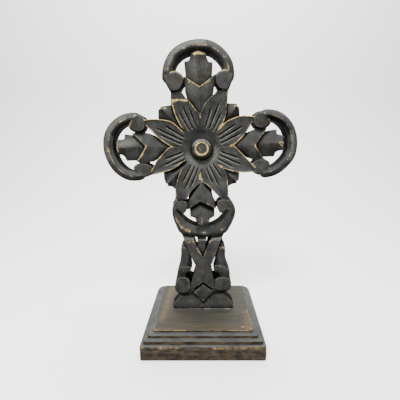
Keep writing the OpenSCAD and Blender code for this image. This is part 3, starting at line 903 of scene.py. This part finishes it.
def thin_out(piece, most, plain_from):
    """Thins a skin to a number of triangles, then cuts its long edges so that marks on it stay sharp. Edges
    farther back than a given y carry no marks and stay long."""
    finish_with(piece, "DECIMATE", {"ratio": min(1.0, most / (2 * len(piece.data.polygons)))})
    bpy.ops.object.mode_set(mode="EDIT")
    bpy.ops.mesh.select_mode(type="EDGE")
    bpy.ops.object.mode_set(mode="OBJECT")
    for _ in range(CUT_PASSES):
        bpy.ops.object.mode_set(mode="EDIT")
        bpy.ops.mesh.select_all(action="DESELECT")
        bpy.ops.object.mode_set(mode="OBJECT")
        mesh = piece.data
        co = coordinates(mesh)
        ends = np.empty(len(mesh.edges) * 2, int)
        mesh.edges.foreach_get("vertices", ends)
        run = co[ends[0::2]] - co[ends[1::2]]
        long_ones = (np.linalg.norm(run, axis=1) > LONG_EDGE) & (co[ends[0::2], 1] < plain_from)
        mesh.edges.foreach_set("select", long_ones)
        bpy.ops.object.mode_set(mode="EDIT")
        bpy.ops.mesh.subdivide(number_cuts=1, ngon=False, quadcorner="INNERVERT")
        bpy.ops.object.mode_set(mode="OBJECT")
    bpy.ops.object.mode_set(mode="EDIT")
    bpy.ops.mesh.select_all(action="SELECT")
    bpy.ops.mesh.quads_convert_to_tris()
    bpy.ops.object.mode_set(mode="OBJECT")
    bpy.ops.object.shade_smooth()
    finish_with(piece, "WEIGHTED_NORMAL", {"mode": "FACE_AREA", "weight": 85})


CELL = 0.0009


def cell_keys(co):
    """One whole number for each small cube of space that the places fall in."""
    steps = np.floor(co / CELL).astype(np.int64) + 1000
    return (steps[:, 0] * 2000 + steps[:, 1]) * 2000 + steps[:, 2]


def mark_line_nearness(piece, fine, lines, name="rubbed"):
    """Stores nearness to the noted lines as a vertex attribute, and proud where the fine skin is given."""
    mesh = piece.data
    co = coordinates(mesh)
    line_nearness = np.zeros(len(co))
    for line, wide, much in lines:
        low, high = line.min(axis=0) - 2 * wide, line.max(axis=0) + 2 * wide
        near = np.flatnonzero(((co > low) & (co < high)).all(axis=1))
        if not len(near):
            continue
        best = np.full(len(near), 9.0)
        for a, b in zip(line[:-1], line[1:]):
            run = b - a
            t = np.clip((co[near] - a) @ run / max(run @ run, 1e-12), 0, 1)
            best = np.minimum(best, np.linalg.norm(co[near] - a - t[:, None] * run, axis=1))
        line_nearness[near] = np.maximum(line_nearness[near], much * np.clip(1.25 - best / wide, 0, 1))
    stored = [(name, line_nearness)]
    if fine is not None:
        fine_co, fine_proud = fine
        cells, cell_of = np.unique(cell_keys(fine_co), return_inverse=True)
        cell_proud = np.bincount(cell_of, fine_proud) / np.bincount(cell_of)
        own = cell_keys(co)
        found = np.minimum(np.searchsorted(cells, own), len(cells) - 1)
        stored.append(("proud", np.where(cells[found] == own, cell_proud[found], 0.5)))
    for label, values in stored:
        layer = mesh.attributes.new(label, "FLOAT", "POINT")
        layer.data.foreach_set("value", values.astype(np.float32))


CARVING_VOXEL = 0.0006
CROSS_TRIANGLES = 150000
SOFTEN_PASSES = 8
PROUD_STEP = 0.0006
LONG_EDGE = 0.005
CUT_PASSES = 4
finish_with(cross, "REMESH", {"mode": "VOXEL", "voxel_size": CARVING_VOXEL, "use_smooth_shade": True})
finish_with(cross, "SMOOTH", {"factor": 0.5, "iterations": 1})
fine_skin = measure_proud(cross.data)
thin_out(cross, CROSS_TRIANGLES, BACK - 0.002)

places = coordinates(cross.data)
places[:, 1] = np.minimum(places[:, 1], BACK)
places[:, 2] = np.maximum(places[:, 2], SEAT)
cross.data.vertices.foreach_set("co", places.reshape(-1))
cross.data.update()
mark_line_nearness(cross, fine_skin, rubbed)
# The lines of painted highlight and painted shadow are stored the same way as the rubbed edges.
mark_line_nearness(cross, None, painted_highlights, name="painted_highlights")
mark_line_nearness(cross, None, sunk, name="sunk")
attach(cross, "root")
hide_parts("cross")

# Charcoal milk paint brushed on soft wood, then rubbed back: flat to the eye, thin and brown in places, and
# gone to tan wood on the edges. Painted light is laid over it: a paler grey where it faces up, painted shade
# where it faces down, on the walls of the piercings, in hollows and in crowded corners, and painted
# highlights and shadows along noted lines.
# Marks to the metre: uneven coats 11 mm across, scuffs 2.4 mm, thin patches 9.5 mm, and grain
# 1.1 mm wide and 17 mm long.
COATS = 90.0
SCUFFS = 420.0
THIN_PATCHES = 105.0
GRAIN = (900.0, 900.0, 60.0)

painted, shader = new_material("rubbed_charcoal_paint")
where = put(painted, "ShaderNodeTexCoord").outputs["Object"]
rub_mark = put(painted, "ShaderNodeAttribute", {"attribute_name": "rubbed"}).outputs["Fac"]
proud_mark = put(painted, "ShaderNodeAttribute", {"attribute_name": "proud"}).outputs["Fac"]
blotch = put(painted, "ShaderNodeTexNoise", Vector=where, Scale=COATS, Detail=5.0,
             Roughness=0.6).outputs["Fac"]
scuff = put(painted, "ShaderNodeTexNoise", Vector=where, Scale=SCUFFS, Detail=4.0,
            Roughness=0.65).outputs["Fac"]
patch = put(painted, "ShaderNodeTexNoise", Vector=where, Scale=THIN_PATCHES, Detail=4.0,
            Roughness=0.6).outputs["Fac"]
grain_place = put(painted, "ShaderNodeMapping", Vector=where, Scale=GRAIN).outputs["Vector"]
grain = put(painted, "ShaderNodeTexNoise", Vector=grain_place, Scale=1.0, Detail=3.0,
            Roughness=0.6).outputs["Fac"]

bloom = put(painted, "ShaderNodeMapRange", Value=blotch, From_Min=0.32, From_Max=0.7).outputs["Result"]
charcoal = put(painted, "ShaderNodeMix", {"data_type": "RGBA"}, Factor=bloom, _6=linear("#1b1c1c"),
               _7=linear("#313231"))
thin = put(painted, "ShaderNodeMapRange", Value=patch, From_Min=0.5, From_Max=0.68).outputs["Result"]
thin_share = put(painted, "ShaderNodeMath", {"operation": "MULTIPLY"}, _0=thin, _1=0.32).outputs[0]
undertone = put(painted, "ShaderNodeMix", {"data_type": "RGBA"}, Factor=thin_share,
                _6=charcoal.outputs[2], _7=linear("#3a2d1f"))
wood_tone = put(painted, "ShaderNodeMapRange", Value=grain, From_Min=0.3, From_Max=0.7).outputs["Result"]
bare = put(painted, "ShaderNodeMix", {"data_type": "RGBA"}, Factor=wood_tone, _6=linear("#6a5634"),
           _7=linear("#b09863"))

facing = put(painted, "ShaderNodeSeparateXYZ", Vector=put(painted, "ShaderNodeTexCoord").outputs["Normal"])
upward = put(painted, "ShaderNodeMapRange", Value=facing.outputs["Z"], From_Min=0.05,
             From_Max=0.6).outputs["Result"]
frontal = put(painted, "ShaderNodeMath", {"operation": "ABSOLUTE"}, _0=facing.outputs["Y"]).outputs[0]
open_face = put(painted, "ShaderNodeMapRange", Value=frontal, From_Min=0.3, From_Max=0.6).outputs["Result"]
# Painted light: faces turned up and toward the front are mixed toward a paler grey.
painted_top_light = put(painted, "ShaderNodeMath", {"operation": "MULTIPLY"}, _0=upward, _1=open_face).outputs[0]
painted_top_light_share = put(painted, "ShaderNodeMath", {"operation": "MULTIPLY"}, _0=painted_top_light, _1=0.36).outputs[0]
top_lit_paint = put(painted, "ShaderNodeMix", {"data_type": "RGBA"}, Factor=painted_top_light_share,
            _6=undertone.outputs[2], _7=linear("#4a4b4a"))
edge_lift = put(painted, "ShaderNodeMapRange", Value=proud_mark, From_Min=0.58,
                From_Max=0.86).outputs["Result"]
dry_share = put(painted, "ShaderNodeMath", {"operation": "MULTIPLY"}, _0=edge_lift, _1=put(
    painted, "ShaderNodeMapRange", Value=scuff, From_Min=0.35, From_Max=0.6).outputs["Result"]).outputs[0]
brushed_edge = put(painted, "ShaderNodeMix", {"data_type": "RGBA"}, Factor=dry_share,
              _6=top_lit_paint.outputs[2], _7=linear("#6f6b62"))
# Painted highlight: the noted lines are mixed toward pale grey.
painted_highlight_mark = put(painted, "ShaderNodeAttribute", {"attribute_name": "painted_highlights"}).outputs["Fac"]
painted_highlight_share = put(painted, "ShaderNodeMath", {"operation": "MULTIPLY"}, _0=painted_highlight_mark, _1=put(
    painted, "ShaderNodeMapRange", Value=scuff, From_Min=0.32, From_Max=0.56).outputs["Result"]).outputs[0]
highlighted_paint = put(painted, "ShaderNodeMix", {"data_type": "RGBA"}, Factor=painted_highlight_share,
            _6=brushed_edge.outputs[2], _7=linear("#6c6c63"))
tooth = put(painted, "ShaderNodeMath", {"operation": "MULTIPLY_ADD"}, _0=scuff, _1=1.1, _2=-0.55).outputs[0]
ragged = put(painted, "ShaderNodeMath", {"operation": "MULTIPLY_ADD"}, _0=blotch, _1=1.9, _2=-0.95).outputs[0]
rough_edge = put(painted, "ShaderNodeMath", {"operation": "ADD"}, _0=tooth, _1=ragged).outputs[0]
worn_sum = put(painted, "ShaderNodeMath", {"operation": "ADD"}, _0=rub_mark, _1=rough_edge).outputs[0]
bare_share = put(painted, "ShaderNodeMapRange", Value=worn_sum, From_Min=0.3, From_Max=0.75).outputs["Result"]
near_mark = put(painted, "ShaderNodeMapRange", Value=rub_mark, From_Min=0.02, From_Max=0.14).outputs["Result"]
bare_here = put(painted, "ShaderNodeMath", {"operation": "MULTIPLY"}, _0=bare_share, _1=near_mark).outputs[0]
skin = put(painted, "ShaderNodeMix", {"data_type": "RGBA"}, Factor=bare_here,
           _6=highlighted_paint.outputs[2], _7=bare.outputs[2])
# Painted shade: the colour is darkened on the side walls of the piercings, on faces turned down, in hollows,
# in corners found by an occlusion node, and along the painted shadow lines.
painted_wall_shade = put(painted, "ShaderNodeMapRange", Value=frontal, From_Min=0.2, From_Max=0.55,
                 To_Min=0.14, To_Max=1.0).outputs["Result"]
painted_underside_shade = put(painted, "ShaderNodeMapRange", Value=facing.outputs["Z"], From_Min=-0.75, From_Max=-0.3,
                  To_Min=0.25, To_Max=1.0).outputs["Result"]
painted_hollow_shade = put(painted, "ShaderNodeMapRange", Value=proud_mark, From_Min=0.15, From_Max=0.46,
                   To_Min=0.3, To_Max=1.0).outputs["Result"]
occlusion = put(painted, "ShaderNodeAmbientOcclusion", {"samples": 8}, Distance=0.006).outputs["AO"]
painted_occlusion_shade = put(painted, "ShaderNodeMapRange", Value=occlusion, From_Min=0.35, From_Max=0.8,
                    To_Min=0.12, To_Max=1.0).outputs["Result"]
# Painted shadow: the noted lines are darkened nearly to black.
painted_shadow_mark = put(painted, "ShaderNodeAttribute", {"attribute_name": "sunk"}).outputs["Fac"]
painted_shadow_share = put(painted, "ShaderNodeMapRange", Value=painted_shadow_mark, From_Max=0.9, To_Min=1.0,
                 To_Max=0.08).outputs["Result"]
shade = painted_wall_shade
for share in (painted_underside_shade, painted_hollow_shade, painted_occlusion_shade, painted_shadow_share):
    shade = put(painted, "ShaderNodeMath", {"operation": "MULTIPLY"}, _0=shade, _1=share).outputs[0]
shaded_paint = put(painted, "ShaderNodeMix", {"data_type": "RGBA", "blend_type": "MULTIPLY"}, Factor=1.0,
             _6=skin.outputs[2], _7=shade)
painted.node_tree.links.new(shaded_paint.outputs[2], shader.inputs["Base Color"])
sheen_break = put(painted, "ShaderNodeMapRange", Value=blotch, To_Min=0.65, To_Max=0.8).outputs["Result"]
painted.node_tree.links.new(sheen_break, shader.inputs["Roughness"])
shader.inputs["Specular IOR Level"].default_value = 0.015
tooled = put(painted, "ShaderNodeMath", {"operation": "MULTIPLY_ADD"}, _0=scuff, _1=0.8, _2=grain).outputs[0]
bump = put(painted, "ShaderNodeBump", Height=tooled, Strength=0.4, Distance=0.0005)
painted.node_tree.links.new(bump.outputs["Normal"], shader.inputs["Normal"])
cross.data.materials.clear()
cross.data.materials.append(painted)

# ---- Base -------------------------------------------------------------------------------
# A square block with two steps and a flat top, cut from one piece of softwood. Its thin
# grey-brown paint has worn along the grain and on every arris.

base_low, base_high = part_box("base")
BASE_SIDE = base_high[0] - base_low[0]
CORNER_ROUND = 0.0028
NEAR = 1e-5
STEPS = [(0.0, 0.0184), (0.0038, 0.0234), (0.0089, 0.0273), (0.0147, base_high[2])]

bpy.ops.object.select_all(action="DESELECT")
bpy.ops.mesh.primitive_cube_add(size=1, location=(0, 0, 0))
stand_block = bpy.context.object
stand_block.name = "stepped_base"
for vertex in stand_block.data.vertices:
    vertex.co = (math.copysign(BASE_SIDE / 2, vertex.co.x), math.copysign(BASE_SIDE / 2, vertex.co.y),
                 STEPS[0][1] if vertex.co.z > 0 else base_low[2])
bpy.ops.object.mode_set(mode="EDIT")
bpy.ops.mesh.select_mode(type="FACE")
bpy.ops.mesh.select_all(action="DESELECT")
bpy.ops.object.mode_set(mode="OBJECT")
for (inset_a, level_a), (inset_b, level_b) in zip(STEPS, STEPS[1:]):
    for face in stand_block.data.polygons:
        central = abs(face.center.z - level_a) < NEAR and abs(face.center.x) < NEAR
        face.select = face.normal.z > 0.9 and central
    bpy.ops.object.mode_set(mode="EDIT")
    bpy.ops.mesh.select_mode(type="FACE")
    bpy.ops.mesh.inset(thickness=inset_b - inset_a)
    bpy.ops.mesh.extrude_region_move(TRANSFORM_OT_translate={"value": (0, 0, level_b - level_a)})
    bpy.ops.object.mode_set(mode="OBJECT")
    stand_block.data.update()
bpy.ops.object.mode_set(mode="EDIT")
bpy.ops.mesh.select_all(action="DESELECT")
bpy.ops.mesh.select_mode(type="EDGE")
bpy.ops.object.mode_set(mode="OBJECT")
for edge in stand_block.data.edges:
    a, b = (stand_block.data.vertices[i].co for i in edge.vertices)
    edge.select = math.hypot(a.x - b.x, a.y - b.y) < 1e-6
bpy.ops.object.mode_set(mode="EDIT")
bpy.ops.mesh.bevel(offset=CORNER_ROUND, segments=5)
bpy.ops.object.mode_set(mode="OBJECT")
EASED = 0.0004
BASE_VOXEL = 0.0007
BASE_TRIANGLES = 120000
TREAD_REACH = 0.0005
finish_with(stand_block, "BEVEL", {"width": EASED, "segments": 3, "limit_method": "ANGLE"})
finish_with(stand_block, "REMESH", {"mode": "VOXEL", "voxel_size": BASE_VOXEL, "use_smooth_shade": True})
finish_with(stand_block, "SMOOTH", {"factor": 0.5, "iterations": 1})
fine_block = measure_proud(stand_block.data)
thin_out(stand_block, BASE_TRIANGLES, math.inf)


def level_line(points, level):
    """Flat places on the base in mm, at a height in metres."""
    return np.array([(x / 1000, y / 1000, level) for x, y in points])


def step_edge(step):
    """The four top edges of one step, from its front left corner round."""
    inset, level = STEPS[step]
    half = (BASE_SIDE / 2 - inset) * 1000
    return level_line([(-half, -half), (half, -half), (half, half), (-half, half), (-half, -half)], level)


TOP = STEPS[-1][1]
FACE = -BASE_SIDE / 2 * 1000
PLATE = BASE_SIDE / 2 * 1000 - STEPS[3][0] * 1000
SLAB_EDGE = STEPS[0][1] - 0.0012
scrapes = [(step_edge(0), 0.0014, 0.35), (step_edge(1), 0.0010, 0.3), (step_edge(2), 0.0010, 0.3),
           (level_line([(-74, FACE), (-30, FACE)], SLAB_EDGE), 0.0028, 0.46),
           (level_line([(-30, FACE), (10, FACE)], SLAB_EDGE), 0.0024, 0.34),
           (level_line([(10, FACE), (75, FACE)], SLAB_EDGE), 0.0028, 0.54),
           (level_line([(-PLATE, -PLATE), (-22, -PLATE)], TOP), 0.0012, 0.75),
           (level_line([(-22, -PLATE), (30, -PLATE)], TOP), 0.0010, 0.45),
           (level_line([(30, -PLATE), (PLATE, -PLATE)], TOP), 0.0012, 0.65),
           (level_line([(-PLATE, -PLATE), (-PLATE, -34)], TOP), 0.0016, 0.8),
           (level_line([(PLATE, -PLATE), (PLATE, -10)], TOP), 0.0020, 0.8),
           (level_line([(PLATE - 12, -PLATE + 7), (PLATE - 2, -PLATE + 4)], TOP), 0.0040, 0.6),
           (level_line([(-PLATE, -34), (-PLATE, PLATE)], TOP), 0.0012, 0.3),
           (level_line([(PLATE, -10), (PLATE, PLATE)], TOP), 0.0012, 0.3)]
softened = [(level_line([(-54, -38), (-52, 10), (-50, 56)], TOP), 0.0055, 1.0),
            (level_line([(-30, -50), (40, -52)], TOP), 0.0060, 0.35),
            (level_line([(PLATE - 5, -PLATE + 6), (PLATE - 4, -20)], TOP), 0.0050, 0.8),
            (level_line([(-PLATE, -PLATE + 3), (PLATE, -PLATE + 3)], TOP), 0.0026, 0.3)]
mark_line_nearness(stand_block, fine_block, scrapes)
mark_line_nearness(stand_block, None, softened, name="softened")
glue_y = BACK * 1000 - FOOT_DEPTH - 0.8
GLUE_RUN = [(-41, -20, 0.55), (-20, 2, 0.75), (2, 9, 1.3), (9, 31, 0.8), (31, 37, 1.3), (37, 42, 0.6)]
glue = [(level_line([(first, glue_y), (last, glue_y)], TOP), 0.0013, much) for first, last, much in GLUE_RUN]
mark_line_nearness(stand_block, None, glue, name="glue")
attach(stand_block, "root")
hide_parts("base")

# A thin wash of paint on planed softwood: greyer where it settled on the treads, browner on
# the top, and rubbed to brown and tan wood on the upright faces and the edges. Marks to the
# metre: streaks 33 mm long and 2.4 mm wide, blotches 22 mm, scuffs 2.9 mm, worn patches 9 by 3 mm.
STREAKS = (30.0, 420.0, 420.0)
WASH_BLOTCHES = 45.0
WASH_SCUFFS = 350.0
WORN_PATCHES = (110.0, 300.0, 300.0)

washed, shader = new_material("worn_grey_brown_wash")
where = put(washed, "ShaderNodeTexCoord").outputs["Object"]
rub_mark = put(washed, "ShaderNodeAttribute", {"attribute_name": "rubbed"}).outputs["Fac"]
proud_mark = put(washed, "ShaderNodeAttribute", {"attribute_name": "proud"}).outputs["Fac"]
streak_place = put(washed, "ShaderNodeMapping", Vector=where, Scale=STREAKS).outputs["Vector"]
streak = put(washed, "ShaderNodeTexNoise", Vector=streak_place, Scale=1.0, Detail=5.0,
             Roughness=0.6).outputs["Fac"]
blotch = put(washed, "ShaderNodeTexNoise", Vector=where, Scale=WASH_BLOTCHES, Detail=4.0,
             Roughness=0.6).outputs["Fac"]
scuff = put(washed, "ShaderNodeTexNoise", Vector=where, Scale=WASH_SCUFFS, Detail=4.0,
            Roughness=0.65).outputs["Fac"]
patch = put(washed, "ShaderNodeTexNoise", Vector=put(
    washed, "ShaderNodeMapping", Vector=where, Scale=WORN_PATCHES).outputs["Vector"],
    Scale=1.0, Detail=4.0, Roughness=0.6).outputs["Fac"]
glue_mark = put(washed, "ShaderNodeAttribute", {"attribute_name": "glue"}).outputs["Fac"]
height = put(washed, "ShaderNodeSeparateXYZ", Vector=where).outputs["Z"]
tread = put(washed, "ShaderNodeMath", {"operation": "COMPARE"}, _0=height, _1=TOP, _2=TREAD_REACH).outputs[0]
for _, level in STEPS[:3]:
    at_level = put(washed, "ShaderNodeMath", {"operation": "COMPARE"}, _0=height, _1=level,
                   _2=TREAD_REACH).outputs[0]
    tread = put(washed, "ShaderNodeMath", {"operation": "MAXIMUM"}, _0=tread, _1=at_level).outputs[0]
grey = put(washed, "ShaderNodeMix", {"data_type": "RGBA"}, Factor=put(
    washed, "ShaderNodeMapRange", Value=blotch, From_Min=0.35, From_Max=0.65).outputs["Result"],
    _6=linear("#2e3130"), _7=linear("#40423f"))
top_brown = put(washed, "ShaderNodeMix", {"data_type": "RGBA"}, Factor=put(
    washed, "ShaderNodeMapRange", Value=streak, From_Min=0.35, From_Max=0.7).outputs["Result"],
    _6=linear("#292824"), _7=linear("#38352e"))
on_top = put(washed, "ShaderNodeMapRange", Value=height,
             From_Min=STEPS[2][1] + 0.001, From_Max=TOP - 0.001).outputs["Result"]
streaky = put(washed, "ShaderNodeMix", {"data_type": "RGBA"}, Factor=on_top,
              _6=grey.outputs[2], _7=top_brown.outputs[2])
riser_brown = put(washed, "ShaderNodeMix", {"data_type": "RGBA"}, Factor=put(
    washed, "ShaderNodeMapRange", Value=patch, From_Min=0.36, From_Max=0.66).outputs["Result"],
    _6=linear("#14110d"), _7=linear("#3c3124"))
brown = put(washed, "ShaderNodeMix", {"data_type": "RGBA"}, Factor=tread,
            _6=riser_brown.outputs[2], _7=streaky.outputs[2])
scuffed = put(washed, "ShaderNodeMath", {"operation": "MULTIPLY_ADD"}, _0=scuff, _1=1.0,
              _2=rub_mark).outputs[0]
patched = put(washed, "ShaderNodeMath", {"operation": "MULTIPLY_ADD"}, _0=patch, _1=1.2,
              _2=scuffed).outputs[0]
bare_share = put(washed, "ShaderNodeMapRange", Value=patched, From_Min=1.5, From_Max=2.1).outputs["Result"]
soft_mark = put(washed, "ShaderNodeAttribute", {"attribute_name": "softened"}).outputs["Fac"]
soft_streak = put(washed, "ShaderNodeMapRange", Value=streak, From_Min=0.3, From_Max=0.7,
                  To_Min=0.1, To_Max=0.55).outputs["Result"]
soft_share = put(washed, "ShaderNodeMath", {"operation": "MULTIPLY"}, _0=soft_mark, _1=soft_streak).outputs[0]
softer = put(washed, "ShaderNodeMix", {"data_type": "RGBA"}, Factor=soft_share,
             _6=brown.outputs[2], _7=linear("#5e4c31"))
worn_down = put(washed, "ShaderNodeMix", {"data_type": "RGBA"}, Factor=bare_share,
                _6=softer.outputs[2], _7=linear("#84693f"))
glue_share = put(washed, "ShaderNodeMapRange", Value=put(washed, "ShaderNodeMath", {"operation": "ADD"},
                 _0=glue_mark, _1=scuff).outputs[0], From_Min=0.95, From_Max=1.7).outputs["Result"]
glued = put(washed, "ShaderNodeMix", {"data_type": "RGBA"}, Factor=glue_share,
            _6=worn_down.outputs[2], _7=linear("#727a7d"))
# Painted shade in the corners between the steps, and the colour darker towards the bottom of the base.
painted_hollow_shade = put(washed, "ShaderNodeMapRange", Value=proud_mark, From_Min=0.1, From_Max=0.46,
                   To_Min=0.25, To_Max=1.0).outputs["Result"]
low_share = put(washed, "ShaderNodeMapRange", Value=height, From_Min=0.009, From_Max=0.016,
                To_Min=0.78, To_Max=1.0).outputs["Result"]
painted_shade_with_low_darkening = put(washed, "ShaderNodeMath", {"operation": "MULTIPLY"}, _0=painted_hollow_shade, _1=low_share).outputs[0]
skin = put(washed, "ShaderNodeMix", {"data_type": "RGBA", "blend_type": "MULTIPLY"}, Factor=1.0,
           _6=glued.outputs[2], _7=painted_shade_with_low_darkening)
washed.node_tree.links.new(skin.outputs[2], shader.inputs["Base Color"])
sheen_break = put(washed, "ShaderNodeMapRange", Value=streak, To_Min=0.55, To_Max=0.75).outputs["Result"]
washed.node_tree.links.new(sheen_break, shader.inputs["Roughness"])
bump = put(washed, "ShaderNodeBump", Height=streak, Strength=0.3, Distance=0.0004)
washed.node_tree.links.new(bump.outputs["Normal"], shader.inputs["Normal"])
shader.inputs["Specular IOR Level"].default_value = 0.12
stand_block.data.materials.clear()
stand_block.data.materials.append(washed)
